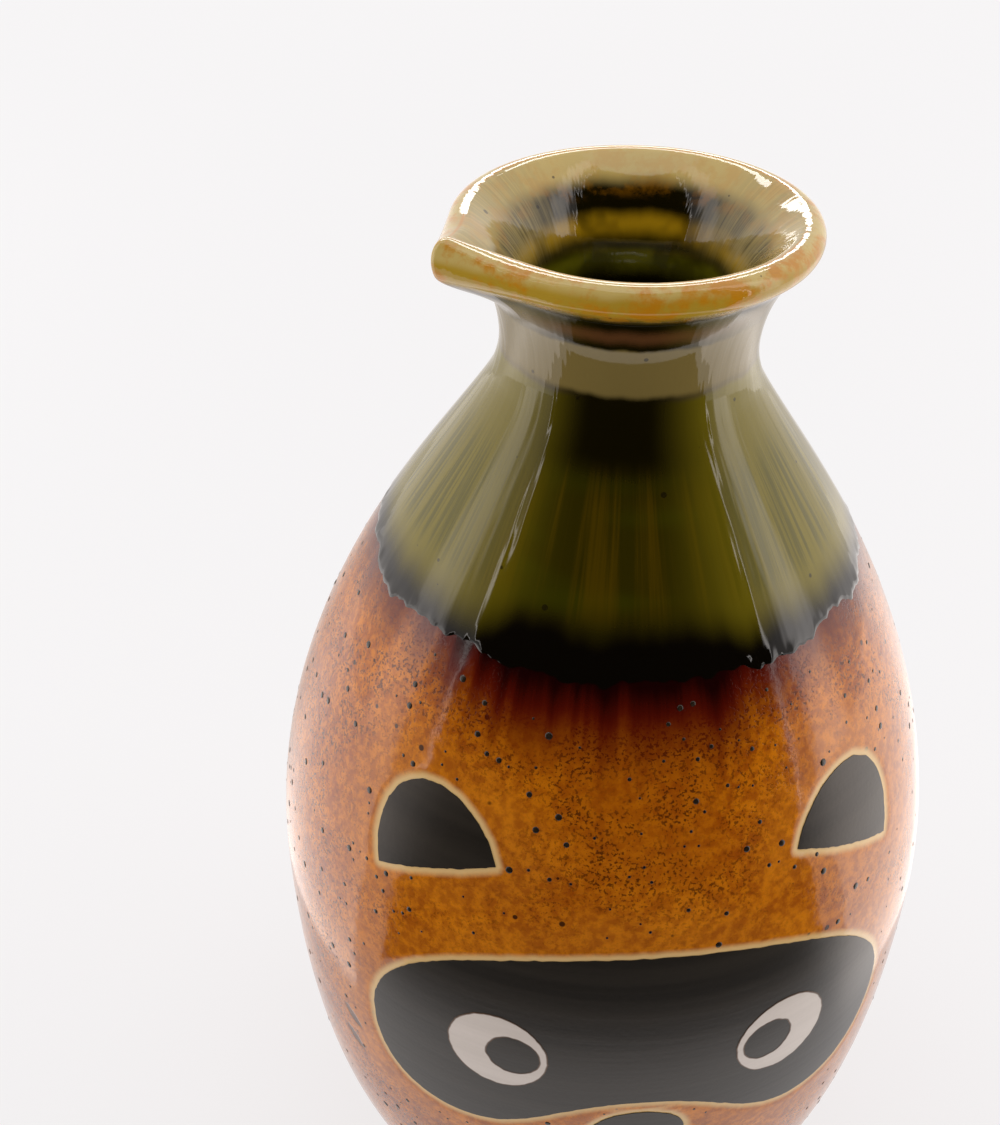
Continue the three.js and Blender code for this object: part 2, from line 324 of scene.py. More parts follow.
def turningTree():
    b = bottle
    tree, given = openTree(
        "turnedCoat", "Coat",
        ("Profile", "Geometry"), ("Stations", "Int", 10), ("Columns", "Int", 64),
        ("Front Closeness", "Float", 0.0), ("Spout Turn", "Float", math.radians(b["spoutTurn"])),
        ("Spout Half Angle", "Float", spoutHalf), ("Spout Reach", "Float", b["spoutReach"] * mm),
        ("Spout Dip", "Float", b["spoutDip"] * mm), ("Spout Rise", "Float", b["spoutRise"] * mm),
        ("Spout Rise From", "Float", b["spoutRiseFrom"] * mm), ("Height", "Float", b["height"] * mm),
        ("Lip Radius", "Float", b["lipRadius"] * mm),
        ("Channel Sharpness", "Float", b["channelSharpness"]),
        ("Lean", "Vector", (b["lean"][0] * mm, b["lean"][1] * mm, 0.0)),
        ("Lean From", "Float", b["leanFrom"] * mm), ("Lean To", "Float", b["leanTo"] * mm),
        ("Edge Wave", "Float", 0.0), ("Edge Scallop", "Float", 0.0), ("Edge Bead", "Float", 0.0),
        ("Throwing Rings", "Float", 0.0), ("Patches", "Object"), ("Patch Sink", "Float", 0.0),
        ("Halo Width", "Float", 0.0013), ("Material", "Material"))

    columns = plus(given["Columns"], 1.0)
    sizes = {"Size X": 1.0, "Size Y": 1.0, "Vertices X": columns, "Vertices Y": given["Stations"]}
    grid = addNode(tree, "GeometryNodeMeshGrid", sizes)
    here = tree.nodes.new("GeometryNodeInputPosition").outputs[0]
    place = splitXyz(here)
    row = calc("ROUND", times(plus(place[1], 0.5), minus(given["Stations"], 1.0)))

    def atRow(field, kind="FLOAT"):
        # the field's value at this row's station; a name stands for a stored value
        if isinstance(field, str):
            field = namedField(tree, field)
        sampled = addNode(tree, "GeometryNodeSampleIndex", data_type=kind, domain="POINT")
        plug(given["Profile"], sampled.inputs[0])
        plug(field, sampled.inputs[1])
        plug(row, sampled.inputs["Index"])
        return sampled.outputs[0]

    # columns stand closer at the front than behind; the seam is behind
    turn = times(plus(place[0], 0.5), math.tau)
    turn = plus(turn, times(given["Front Closeness"], calc("SINE", turn)))
    sine, cosine = calc("SINE", turn), calc("COSINE", turn)

    # the coat's edge wanders along the wall, hangs in scallops and swells into beads
    ring = joinXyz(sine, cosine, 0.0)
    slow = times(minus(grain(ring, 3.5, 1.0), 0.5), given["Edge Wave"])
    fast = times(ease(grain(ring, 14.0, 1.5), 0.3, 0.7), given["Edge Scallop"])
    wave = times(plus(slow, fast), atRow("waveShare"))
    bead = times(ease(grain(ring, 16.0, 1.0), 0.45, 0.7), given["Edge Bead"])
    bead = times(bead, atRow("beadShare"))
    station = splitXyz(atRow(here, "FLOAT_VECTOR"))
    out, up = atRow("slopeOut"), atRow("slopeUp")
    stationRadius = plus(station[0], times(out, wave), times(up, bead))
    stationLevel = plus(station[2], minus(times(up, wave), times(out, bead)))

    # the spout: a corner outside, a narrow channel inside
    away = calc("ABSOLUTE", minus(turn, minus(math.pi, given["Spout Turn"])))
    away = calc("MINIMUM", away, minus(math.tau, away))
    away = calc("MINIMUM", away, given["Spout Half Angle"])
    corner = calc("COSINE", minus(given["Spout Half Angle"], away))
    corner = minus(calc("DIVIDE", given["Lip Radius"], corner), given["Lip Radius"])
    near = minus(1.0, calc("DIVIDE", away, given["Spout Half Angle"]))
    near = calc("POWER", near, given["Channel Sharpness"])
    cornerShare, channelShare = atRow("cornerShare"), atRow("channelShare")
    push = plus(times(cornerShare, corner), times(channelShare, near, given["Spout Reach"]))
    radius = plus(stationRadius, push)
    dip = times(plus(cornerShare, channelShare), near, given["Spout Dip"])
    level = minus(stationLevel, dip)
    rising = ease(stationLevel, given["Spout Rise From"], given["Height"])
    level = plus(level, times(rising, near, given["Spout Rise"]))
    turned = joinXyz(times(radius, sine, -1.0), times(radius, cosine), level)
    leaning = addNode(tree, "ShaderNodeVectorMath", {0: given["Lean"]}, operation="SCALE")
    plug(ease(level, given["Lean From"], given["Lean To"]), leaning.inputs["Scale"])
    upright = {0: turned, 1: leaning.outputs[0]}
    turned = addNode(tree, "ShaderNodeVectorMath", upright, operation="ADD").outputs[0]

    def store(geometry, name, value):
        node = addNode(tree, "GeometryNodeStoreNamedAttribute", {"Geometry": geometry, "Name": name},
                       data_type="FLOAT", domain="POINT")
        plug(value, node.inputs["Value"])
        return node.outputs[0]

    marked = store(grid.outputs[0], "insideShare", atRow("insideShare"))
    placed = addNode(tree, "GeometryNodeSetPosition", {"Geometry": marked, "Position": turned})
    sizes = {"Geometry": placed.outputs[0], "Distance": 0.004 * mm}
    closed = addNode(tree, "GeometryNodeMergeByDistance", sizes)

    # the distance to the nearest patch is kept for the glaze's pale rim, and the glaze dips towards the patch
    info = addNode(tree, "GeometryNodeObjectInfo", {"Object": given["Patches"]}, transform_space="ORIGINAL")
    nearest = addNode(tree, "GeometryNodeProximity", {0: info.outputs["Geometry"]}, target_element="FACES")
    kept = store(closed.outputs[0], "toPatch", nearest.outputs["Distance"])
    sink = ease(namedField(tree, "toPatch"), 0.0002, given["Halo Width"], 1.0, 0.0)
    sink = times(sink, given["Patch Sink"], -1.0)
    around = joinXyz(times(place[0], 0.16), times(place[1], 0.16), place[2])
    rings = times(minus(grain(around, 260.0, 1.0), 0.62), given["Throwing Rings"])
    normal = tree.nodes.new("GeometryNodeInputNormal").outputs[0]
    lift = addNode(tree, "ShaderNodeVectorMath", {0: normal}, operation="SCALE")
    plug(plus(sink, rings), lift.inputs["Scale"])
    relief = addNode(tree, "GeometryNodeSetPosition", {"Geometry": kept, "Offset": lift.outputs[0]})

    smooth = addNode(tree, "GeometryNodeSetShadeSmooth", {"Geometry": relief.outputs[0]})
    finishTree(tree, smooth.outputs[0], given["Material"])
    return tree


def finishTree(tree, geometry, material):
    real = addNode(tree, "GeometryNodeRealizeInstances", {"Geometry": geometry})
    finished = addNode(tree, "GeometryNodeSetMaterial", {"Geometry": real.outputs[0], "Material": material})
    plug(finished.outputs[0], tree.nodes.new("NodeGroupOutput").inputs[0])


def scatterTree():
    # flat beads scattered over a surface, clear of the patches
    tree, given = openTree(
        "scatteredPits", "Pits",
        ("Surface", "Geometry"), ("Spacing", "Float", 0.002), ("Density", "Float", 20000.0),
        ("Seed", "Int", 4), ("Smallest", "Float", 0.0001), ("Largest", "Float", 0.0004),
        ("Flatness", "Float", 0.15), ("Clear Of Patches", "Float", 0.001), ("Highest", "Float", 0.106),
        ("Material", "Material"))
    here = tree.nodes.new("GeometryNodeInputPosition").outputs[0]
    x, y, z = splitXyz(here)
    radius = lengthOf(x, y)
    normal = tree.nodes.new("GeometryNodeInputNormal").outputs[0]
    outwards = {0: normal, 1: joinXyz(x, y, 0.0)}
    outwards = addNode(tree, "ShaderNodeVectorMath", outwards, operation="DOT_PRODUCT").outputs["Value"]
    faceSide = calc("GREATER_THAN", outwards, times(radius, 0.3))
    clear = calc("GREATER_THAN", namedField(tree, "toPatch"), given["Clear Of Patches"])
    low = calc("LESS_THAN", z, given["Highest"])
    allowed = times(faceSide, clear, low)
    clumps = ease(grain(here, 90.0, 2.0), 0.38, 0.62, 0.12, 1.0)
    inputs = {"Mesh": given["Surface"], "Selection": allowed, "Distance Min": given["Spacing"],
              "Density Max": given["Density"], "Density Factor": clumps, "Seed": given["Seed"]}
    points = addNode(tree, "GeometryNodeDistributePointsOnFaces", inputs, distribute_method="POISSON")
    ball = addNode(tree, "GeometryNodeMeshUVSphere", {"Segments": 9, "Rings": 5, "Radius": 1.0})
    flat = addNode(tree, "GeometryNodeTransform", {"Geometry": ball.outputs[0]})
    plug(joinXyz(1.0, 1.0, given["Flatness"]), flat.inputs["Scale"])
    chance = addNode(tree, "FunctionNodeRandomValue", {"Seed": given["Seed"]}, data_type="FLOAT")
    share = calc("POWER", chance.outputs["Value"], 1.8)
    extra = times(share, minus(given["Largest"], given["Smallest"]))
    size = plus(given["Smallest"], extra)
    inputs = {"Points": points.outputs["Points"], "Instance": flat.outputs[0],
              "Rotation": points.outputs["Rotation"], "Scale": joinXyz(size, size, size)}
    placed = addNode(tree, "GeometryNodeInstanceOnPoints", inputs)
    real = addNode(tree, "GeometryNodeRealizeInstances", {"Geometry": placed.outputs[0]})
    smooth = addNode(tree, "GeometryNodeSetShadeSmooth", {"Geometry": real.outputs[0]})
    finishTree(tree, smooth.outputs[0], given["Material"])
    return tree


def grow(source, tree, name, inputs):
    # runs a tree on an object and returns the result as a plain mesh object at the origin
    bpy.context.scene.collection.objects.link(source)
    modifier = source.modifiers.new("grow", "NODES")
    modifier.node_group = tree
    identifiers = {item.name: item.identifier for item in tree.interface.items_tree if item.in_out == "INPUT"}
    for key, value in inputs.items():
        modifier[identifiers[key]] = value
    bpy.context.view_layer.update()
    evaluated = source.evaluated_get(bpy.context.evaluated_depsgraph_get())
    mesh = bpy.data.meshes.new_from_object(evaluated)
    mesh.name = name
    result = bpy.data.objects.new(name, mesh)
    bpy.context.scene.collection.objects.link(result)
    source.modifiers.remove(modifier)
    bpy.data.objects.remove(source)
    return result


# Materials

def newMaterial(name, roughness):
    material = bpy.data.materials.new(name)
    material.use_nodes = True
    tree = material.node_tree
    shader = tree.nodes["Principled BSDF"]
    shader.inputs["Roughness"].default_value = roughness
    shader.inputs["IOR"].default_value = 1.5
    place = tree.nodes.new("ShaderNodeTexCoord").outputs["Object"]
    return material, tree, shader, place


def addBump(shader, height, distance, strength=1.0):
    inputs = {"Height": height, "Distance": distance, "Strength": strength}
    plug(addNode(treeOf(height), "ShaderNodeBump", inputs).outputs[0], shader.inputs["Normal"])


def stretched(place, sideways, upwards):
    inputs = {"Vector": place, "Scale": (sideways, sideways, upwards)}
    return addNode(treeOf(place), "ShaderNodeMapping", inputs).outputs[0]


def runningWith(place, sideways, upwards):
    # a pattern in lines down the wall: sideways by direction from the axis, so that it has no seam
    x, y, z = splitXyz(place)
    radius = lengthOf(x, y)
    radius = calc("MAXIMUM", radius, 0.001)
    x, y = calc("DIVIDE", x, radius), calc("DIVIDE", y, radius)
    return joinXyz(times(x, sideways), times(y, sideways), times(z, upwards))


def flanks(place, start, end, low=0.0, high=1.0):
    # how far towards the left or right flank, away from the front that faces the tent's dark opening; the
    # glazes use it for painted light on the flanks and painted shade on the front
    around = runningWith(place, 1, 0)
    shadedFrontAngle = math.radians(bottle["shadedFrontTurn"])
    across = (math.cos(shadedFrontAngle), -math.sin(shadedFrontAngle), 0.0)
    node = addNode(treeOf(place), "ShaderNodeVectorMath", {0: around, 1: across}, operation="DOT_PRODUCT")
    return ease(calc("ABSOLUTE", node.outputs["Value"]), start, end, low, high)


def dots(place, scale, largest, rarity):
    # round dots of mixed sizes, soft at the rim; a higher rarity leaves more cells with hardly any
    cell = addNode(treeOf(place), "ShaderNodeTexVoronoi", {"Vector": place, "Scale": scale})
    chance = splitXyz(cell.outputs["Color"])[0]
    size = times(calc("POWER", chance, rarity), largest)
    return ease(cell.outputs["Distance"], times(size, 0.7), size, 1.0, 0.0)


def attribute(tree, name):
    return addNode(tree, "ShaderNodeAttribute", attribute_name=name).outputs["Fac"]


# the darker colour laid on the front away from the patches is painted shade; the others are the glaze's own
# colours
amberLook = {
    "roughness": 0.11, "light": (0.63, 0.185, 0.002), "dark": (0.29, 0.055, 0.001),
    "pepper": (0.07, 0.016, 0.001), "spot": (0.02, 0.007, 0.003), "frontShade": (0.33, 0.075, 0.001),
    "burnt": (0.095, 0.005, 0.0006), "scorched": (0.010, 0.0005, 0.0004),
    "rim": (0.72, 0.47, 0.20), "warm": (0.62, 0.23, 0.02),
    "burntFrom": 96.5, "burntTo": 105.0, "scorchedFrom": 103.0, "scorchedTo": 107.5,
    "haloStart": 0.2, "haloEnd": 1.25,
    "nicks": ((-53.5, 50.5), (-54.0, 45.7)), "nickSlant": 0.85, "nickLength": 1.7, "nickWidth": 1.6,
}


def nickShare(place, turn, level):
    # a short slanting mark on the wall, 1 at its middle and 0 round it
    x, y, z = splitXyz(place)
    cosine, sine = math.cos(math.radians(turn)), math.sin(math.radians(turn))
    across = plus(times(x, cosine), times(y, sine))
    outward = minus(times(x, sine), times(y, cosine))
    up = minus(z, level * mm)
    slant = plus(across, times(up, amberLook["nickSlant"]))
    along = calc("DIVIDE", up, amberLook["nickLength"] * mm)
    wide = calc("DIVIDE", slant, amberLook["nickWidth"] * mm)
    apart = lengthOf(along, wide)
    return times(ease(apart, 0.5, 1.0, 1.0, 0.0), ease(outward, 0.0, 0.01))


def amberMaterial():
    look = amberLook
    material, tree, shader, place = newMaterial("amberIronGlaze", look["roughness"])
    level = splitXyz(place)[2]
    cloud = ease(grain(place, 130, 3), 0.35, 0.65)
    mottle = ease(grain(place, 900, 3, 0.6), 0.35, 0.66)
    share = plus(times(cloud, 0.35), times(mottle, 0.65))
    color = blendColor(share, look["dark"], look["light"])
    halo = ease(attribute(tree, "toPatch"), look["haloStart"] * mm, look["haloEnd"] * mm, 1.0, 0.0)
    wide = ease(attribute(tree, "toPatch"), 1.5 * mm, 11 * mm, 1.0, 0.0)
    color = blendColor(times(wide, 0.2), color, look["warm"])
    # painted shade: away from the patches, the front that faces the tent's dark opening is darkened
    far = ease(attribute(tree, "toPatch"), 4 * mm, 13 * mm, 0.0, 0.5)
    front = flanks(place, 0.25, 0.6, 1.0, 0.0)
    color = blendColor(times(far, front), color, look["frontShade"])
    crowd = ease(grain(place, 200, 2), 0.3, 0.6, 0.2, 1.0)
    pepper = ease(grain(place, 2700, 2, 0.6), 0.53, 0.60)
    fewer = minus(1.0, times(wide, 0.75))
    pepper = times(pepper, crowd, fewer)
    color = blendColor(times(pepper, 0.85), color, look["pepper"])
    spots = dots(place, 420, 0.24, 5.0)
    color = blendColor(times(spots, 0.9), color, look["spot"])
    runs = grain(runningWith(place, 16, 40), 1.0, 3)
    edge = plus(level, times(minus(runs, 0.5), 0.006))
    # the dark band's colour is the glazes' own; its reaching lower at the front than on the flanks is painted
    # shade
    edge = minus(edge, times(flanks(place, 0.3, 0.8), 0.004))
    for shade in ("burnt", "scorched"):
        share = ease(edge, look[shade + "From"] * mm, look[shade + "To"] * mm)
        color = blendColor(share, color, look[shade])
    color = blendColor(halo, color, look["rim"])
    marks = times(pepper, -0.2)
    for turn, height in look["nicks"]:
        nick = nickShare(place, turn, height)
        color = blendColor(times(nick, 0.8), color, look["scorched"])
        marks = minus(marks, nick)
    plug(color, shader.inputs["Base Color"])
    addBump(shader, plus(grain(place, 420, 2), marks), 0.00005, 0.7)
    return material


# painted light and shade among these: the very dark colour used at the neck's foot, under the lip and in the
# throat is painted shade, the dark brown one a painted reflection under the lip, the side and flank colours
# painted side light, and the glow colour painted light in the throat; the rest are the glaze's own colours
greenLook = {
    "roughness": 0.05, "pool": (0.003, 0.002, 0.001), "olive": (0.030, 0.0225, 0.0006),
    "paintedShade": (0.007, 0.005, 0.0005), "band": (0.040, 0.042, 0.001), "ochre": (0.085, 0.048, 0.001),
    "side": (0.19, 0.145, 0.008), "neck": (0.19, 0.135, 0.04), "lip": (0.53, 0.38, 0.12),
    "lipFace": (0.42, 0.26, 0.025), "flank": (0.33, 0.25, 0.09), "break": (0.50, 0.19, 0.004),
    "underLipReflection": (0.09, 0.035, 0.012), "glow": (0.42, 0.24, 0.006), "throat": (0.13, 0.12, 0.004),
    "speck": (0.008, 0.005, 0.002),
}
# the glaze's colours by level in millimetres: on the shoulder, from the neck to the lip, and in the throat
# on the shoulder, the near-black stops by the neck's foot are painted shade, where the lip's shadow falls
shoulderColors = (
    (104, "pool"), (110.5, "pool"), (114, "olive"), (122.5, "olive"), (127, "paintedShade"), (132, "paintedShade"))
# on the neck, the near-black stops at its foot and under the lip are painted shade, and the dark brown one
# under the lip is a painted reflection of the shoulder
neckColors = (
    (130, "paintedShade"), (132.4, "paintedShade"), (133.3, "neck"), (138.3, "neck"), (138.9, "paintedShade"), (140.4, "underLipReflection"),
    (142.0, "paintedShade"), (142.8, "paintedShade"), (144.0, "lipFace"), (145.6, "lipFace"), (146.6, "lip"), (148, "lip"))
# in the throat: the near-black stops deep down and just under the rim are painted shade, and the bright stop
# between them is painted light on the far wall
throatColors = (
    (130, "paintedShade"), (134.5, "paintedShade"), (137, "throat"), (138.6, "olive"), (140.6, "glow"), (142.3, "paintedShade"),
    (143.7, "paintedShade"), (145.4, "lip"), (148, "lip"))


def greenMaterial():
    look = greenLook
    material, tree, shader, place = newMaterial("greenAshGlaze", look["roughness"])
    level = calc("DIVIDE", splitXyz(place)[2], mm)
    streaks = grain(runningWith(place, 38, 45), 1.0, 4, 0.6)
    broad = grain(runningWith(place, 4.5, 14), 1.0, 2)
    wobble = times(minus(broad, 0.5), 5.0)
    flank = flanks(place, 0.2, 0.85)
    shifted = plus(level, wobble, times(flank, 2.0))
    outer = colorRamp(shifted, look, shoulderColors)
    bands = ease(grain(runningWith(place, 0.6, 190), 1.0, 1.0), 0.5, 0.62)
    shoulder = times(ease(level, 111.5, 115), ease(level, 122, 127, 1.0, 0.0))
    outer = blendColor(times(bands, shoulder, 0.6), outer, look["band"])
    streak = ease(plus(times(streaks, 0.4), times(broad, 0.6)), 0.46, 0.62)
    outer = blendColor(times(streak, shoulder, 0.7), outer, look["ochre"])
    # painted light: the flanks, where the side lights fall, take a paler colour, while the front facing the
    # tent's dark opening stays dark
    outer = blendColor(times(flank, ease(shifted, 110, 115)), outer, look["side"])
    runs = times(flank, shoulder, ease(streaks, 0.42, 0.6, 0.0, 0.55))
    outer = blendColor(runs, outer, look["band"])
    neck = plus(level, times(minus(broad, 0.5), 1.2))
    upper = colorRamp(neck, look, neckColors)
    # painted light: the neck is paler on the flanks below the lip
    pale = times(flank, ease(level, 141.5, 143, 1.0, 0.0))
    upper = blendColor(times(pale, 0.8), upper, look["neck"])
    outer = blendColor(ease(neck, 131.8, 132.6), outer, upper)
    inner = colorRamp(plus(level, times(wobble, 0.15)), look, throatColors)
    # painted shade: patches of the inner wall below the rim are darkened further
    patchy = ease(grain(place, 190, 2), 0.4, 0.56)
    dim = times(minus(1.0, patchy), ease(level, 142.5, 143.5, 1.0, 0.0))
    inner = blendColor(times(dim, 0.6), inner, look["paintedShade"])
    # painted light: the inner wall is paler on the flanks, where light reaches into the mouth
    pale = times(flanks(place, 0.52, 0.98), ease(level, 137.5, 142),
                 ease(streaks, 0.35, 0.6, 0.35, 0.85))
    inner = blendColor(pale, inner, look["flank"])
    inside = attribute(tree, "insideShare")
    color = blendColor(inside, outer, inner)
    breaks = ease(grain(place, 330, 4, 0.65), 0.42, 0.62)
    onLip = times(ease(level, 142.6, 143.8), ease(inside, 0.0, 0.5, 0.85, 0.25))
    color = blendColor(times(breaks, onLip), color, look["break"])
    line = times(ease(inside, 0.55, 0.8), ease(inside, 0.85, 0.99, 1.0, 0.0))
    color = blendColor(times(line, 0.7), color, look["break"])
    specks = dots(place, 480, 0.2, 5.0)
    color = blendColor(times(specks, 0.7), color, look["speck"])
    plug(color, shader.inputs["Base Color"])
    addBump(shader, grain(runningWith(place, 11, 60), 1.0, 2), 0.00012, 0.5)
    return material


blackLook = {
    "roughness": 0.33, "base": (0.010, 0.0075, 0.005), "variation": (0.026, 0.020, 0.014),
    "outline": None, "tint": (1.0, 0.91, 0.84, 1),
}
whiteLook = {
    "roughness": 0.3, "base": (0.60, 0.52, 0.46), "variation": (0.70, 0.61, 0.55),
    "outline": (0.10, 0.05, 0.025), "tint": (1.0, 0.91, 0.84, 1),
}


def slipMaterial(name, look):
    material, tree, shader, place = newMaterial(name, look["roughness"])
    shader.inputs["Specular Tint"].default_value = look["tint"]
    turned = grain(stretched(place, 12, 420), 1.0, 4, 0.6)
    fine = grain(place, 1800, 2)
    share = plus(times(ease(turned, 0.3, 0.7), 0.7), times(fine, 0.3))
    color = blendColor(share, look["base"], look["variation"])
    if look["outline"]:
        edge = ease(attribute(tree, "toEdge"), 0.08 * mm, 0.28 * mm, 1.0, 0.0)
        color = blendColor(edge, color, look["outline"])
    plug(color, shader.inputs["Base Color"])
    addBump(shader, plus(turned, times(fine, 0.35)), 0.00005, 0.6)
    return material


clayLook = {
    "roughness": 0.8, "dark": (0.42, 0.33, 0.24), "light": (0.60, 0.50, 0.38), "speck": (0.08, 0.05, 0.03),
}


def clayMaterial():
    look = clayLook
    material, tree, shader, place = newMaterial("bareStoneware", look["roughness"])
    color = blendColor(grain(place, 700, 4, 0.6), look["dark"], look["light"])
    specks = dots(place, 700, 0.25, 5.0)
    color = blendColor(specks, color, look["speck"])
    plug(color, shader.inputs["Base Color"])
    addBump(shader, grain(place, 2500, 3, 0.7), 0.00012, 0.8)
    return material


pitLook = {"roughness": 0.25, "dark": (0.004, 0.003, 0.002), "light": (0.035, 0.02, 0.008)}


def pitMaterial():
    look = pitLook
    material, tree, shader, place = newMaterial("ironPit", look["roughness"])
    color = blendColor(grain(place, 3000, 2), look["dark"], look["light"])
    plug(color, shader.inputs["Base Color"])
    return material


materials = {
    "amber": amberMaterial(), "green": greenMaterial(), "clay": clayMaterial(), "pit": pitMaterial(),
    "black": slipMaterial("blackSlip", blackLook), "white": slipMaterial("whiteSlip", whiteLook),
}
print("materials ready")


# The face: patches laid on the wall, each drawn by distances along the surface from the middle of the face

face = {
    "maskHalfWidth": 34.8, "maskRise": 17.0, "maskLobeDrop": 15.4, "maskLobeOut": 23.0, "maskArchDrop": 7.0,
    "maskEndDrop": 3.5, "lobeSteps": 44, "sideSteps": 30, "topSteps": 70,
    "eyeOut": 17.3, "eyeRadius": 6.2, "pupilOut": 15.3, "pupilRadius": 3.15,
    "earOut": 25.1, "earRise": 23.0, "earHalfWidth": 8.5, "earDepth": 9.0, "earLean": 0.17, "earTilt": 21.0,
    "earSteps": 60, "ovalSteps": 96,
    "noseDrop": 13.5, "noseHalfWidth": 5.7, "noseHalfHeight": 4.3,
    "wobble": 0.12, "seed": 5, "thickness": 0.34, "blackSit": -0.05, "whiteSit": -0.01, "pupilSit": -0.03,
}


def onWall(sideways, level, lift):
    # a point on the outside wall, lift millimetres over the glaze's line
    radius = outerRadius(level)
    slope = (outerRadius(level + 0.2) - outerRadius(level - 0.2)) / 0.4
    size = math.hypot(1, slope)
    turn = sideways / radius
    out = radius + lift / size
    lean = smoothShare(level, bottle["leanFrom"], bottle["leanTo"])
    x, y = out * math.sin(turn) + bottle["lean"][0] * lean, bottle["lean"][1] * lean - out * math.cos(turn)
    return Vector((x, y, level - lift * slope / size)) * mm


def mirrored(half):
    return half + [(-x, y) for x, y in half[-2:0:-1]]


def maskOutline():
    line, f = bottle["faceLine"], face
    side, lobe = line - f["maskEndDrop"], line - f["maskLobeDrop"]
    arch, top = line - f["maskArchDrop"], line + f["maskRise"]
    out, wide = f["maskLobeOut"], f["maskHalfWidth"]
    half = bezier((0, arch), (out * 0.44, arch), (out * 0.58, lobe), (out, lobe), f["lobeSteps"])
    half += bezier(half[-1], (wide - 4.8, lobe), (wide, side - 8), (wide, side), f["sideSteps"])[1:]
    half += bezier(half[-1], (wide, side + 12.5), (wide * 0.52, top), (0, top), f["topSteps"])[1:]
    return mirrored(half)


def ovalOutline(x, y, halfWidth, halfHeight):
    turns = [math.tau * i / face["ovalSteps"] for i in range(face["ovalSteps"])]
    return [(x + halfWidth * math.cos(t), y + halfHeight * math.sin(t)) for t in turns]


def earOutline(side):
    # half an oval over a straight side, leaning outwards and tilted
    wide, count = face["earHalfWidth"], face["earSteps"]
    turns = [math.pi * i / count for i in range(count + 1)]
    arc = [(wide * math.cos(turn), face["earDepth"] * math.sin(turn)) for turn in turns]
    arc += [(wide * (-1 + i / 20), 0) for i in range(1, 40)]
    tilt = -side * math.radians(face["earTilt"])
    sine, cosine = math.sin(tilt), math.cos(tilt)
    x, y = side * face["earOut"], bottle["faceLine"] + face["earRise"]
    arc = [(u - side * face["earLean"] * v, v) for u, v in arc]
    return [(x + u * cosine - v * sine, y + u * sine + v * cosine) for u, v in arc]


def wobbled(outline, seed):
    # a hand-drawn edge: the same outline and seed always give the same line
    moved = []
    for x, y in outline:
        shift = noise.noise_vector(Vector((x * 1.3, y * 1.3, seed))) * face["wobble"]
        moved.append((x + shift.x, y + shift.y))
    return moved


def patchMesh(name, outline, middle, sit, rings, material, hole=None):
    # rings run from the middle, or from a hole's outline, to the outline; the last ones stand close together
    # at its edge
    count = len(outline)
    start = hole or [middle] * count
    shares = [i / rings for i in range(rings)] + [0.975, 0.99, 1.0]
    vertices, toEdge = [], []
    for depth in (0.0, face["thickness"]):
        for share in shares:
            for (x, y), (u, v) in zip(outline, start):
                vertices.append(onWall(u + (x - u) * share, v + (y - v) * share, sit - depth))
                reach = math.hypot(x - u, y - v)
                toEdge.append(min((1 - share) * reach, share * reach if hole else 9.0) * mm)
    layer = len(shares) * count
    faces = []
    for ring in range(len(shares) - 1):
        for i in range(count):
            a, b = ring * count + i, ring * count + (i + 1) % count
            faces.append((a, a + count, b + count, b))
            faces.append((layer + a, layer + b, layer + b + count, layer + a + count))
    for i in range(count):
        a, b = layer - count + i, layer - count + (i + 1) % count
        faces.append((a, a + layer, b + layer, b))
        if hole:
            a, b = i, (i + 1) % count
            faces.append((a, b, b + layer, a + layer))
    mesh = bpy.data.meshes.new(name)
    mesh.from_pydata(vertices, [], faces)
    mesh.attributes.new("toEdge", "FLOAT", "POINT").data.foreach_set("value", toEdge)
    piece = bpy.data.objects.new(name, mesh)
    bpy.context.scene.collection.objects.link(piece)
    tidyMesh(mesh)
    mesh.materials.append(material)
    return piece


def tidyMesh(mesh):
    work = bmesh.new()
    work.from_mesh(mesh)
    bmesh.ops.remove_doubles(work, verts=work.verts, dist=0.000001)
    bmesh.ops.dissolve_degenerate(work, dist=0.0000005, edges=work.edges)
    bmesh.ops.recalc_face_normals(work, faces=work.faces)
    work.to_mesh(mesh)
    work.free()
    mesh.polygons.foreach_set("use_smooth", [True] * len(mesh.polygons))
    mesh.set_sharp_from_angle(angle=math.radians(40))


noise.seed_set(face["seed"])  # else the noise starts from the time, and the edges change from run to run
faceLine = bottle["faceLine"]
patches, guides = [], []


def layPatch(name, node, outline, middle, sit, rings, look, hole=None):
    piece = patchMesh(name, outline, middle, face[sit], rings, materials[look], hole)
    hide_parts(node)
    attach(piece, "root")
    patches.append(piece)
    if sit == "blackSit":
        guides.append(piece.data)


layPatch("blackMask", "black_mask", wobbled(maskOutline(), 1.0), (0, faceLine + 2), "blackSit", 26, "black")
for side, word in ((-1, "left"), (1, "right")):
    title = word.capitalize()
    eye, pupil = (side * face["eyeOut"], faceLine), (side * face["pupilOut"], faceLine)
    ear = (side * face["earOut"], faceLine + face["earRise"] + 4)
    earLine = wobbled(earOutline(side), 7.0)
    eyeLine = wobbled(ovalOutline(*eye, face["eyeRadius"], face["eyeRadius"]), 3.0)
    pupilLine = wobbled(ovalOutline(*pupil, face["pupilRadius"], face["pupilRadius"]), 5.0)
    layPatch("blackEar" + title, "black_ear_" + word, earLine, ear, "blackSit", 12, "black")
    layPatch("whiteEye" + title, "white_eye_" + word, eyeLine, eye, "whiteSit", 10, "white", pupilLine)
    layPatch("blackPupil" + title, "black_pupil_" + word, pupilLine, pupil, "pupilSit", 6, "black")
nose = (0, faceLine - face["noseDrop"])
noseLine = wobbled(ovalOutline(*nose, face["noseHalfWidth"], face["noseHalfHeight"]), 9.0)
layPatch("blackNose", "black_nose", noseLine, nose, "blackSit", 8, "black")
print("patches laid:", len(patches))

